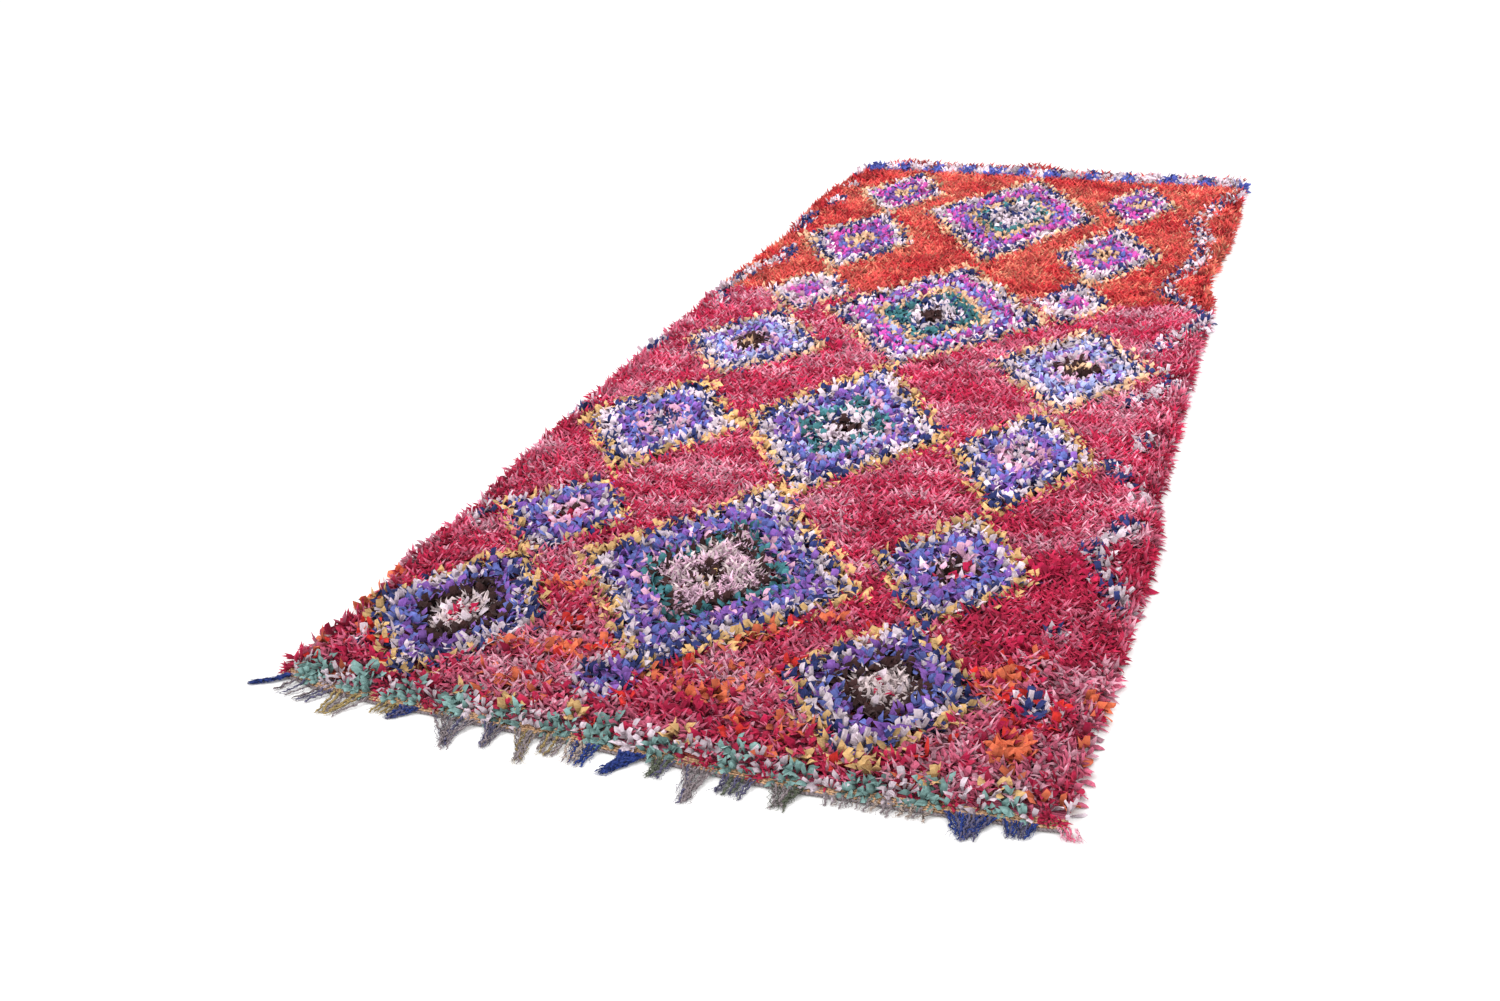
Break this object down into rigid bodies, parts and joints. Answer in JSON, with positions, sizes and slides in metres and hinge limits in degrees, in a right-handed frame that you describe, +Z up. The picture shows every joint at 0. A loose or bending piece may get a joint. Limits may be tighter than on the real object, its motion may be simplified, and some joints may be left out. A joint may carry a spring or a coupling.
{
  "type": "boucherouite rug",
  "caption": "Long shaggy hand-knotted rag rug with lozenges on a crimson and orange ground, flat-woven ends and a short knotted warp fringe, lying flat.",
  "frame": {"origin": "on the floor, at the centre of the rug's footprint", "axes": "+Y along the rug's length, from the near end with the long fringe to the far end, +X across it to the right, +Z up, out of the pile"},
  "size_m": [1.479, 3.8955, 0.0386],
  "materials": {
    "rag_pile": "shaggy pile of knotted cotton and synthetic rag strips and yarn ends",
    "woven_band": "flat weft-faced weave, tan and pale cotton",
    "warp_fringe": "twisted warp yarn ends, knotted in clumps"
  },
  "bodies": {
    "root": {"pile": "rag_pile", "near_end_band": "woven_band", "far_end_band": "warp_fringe"}
  },
  "joints": []
}
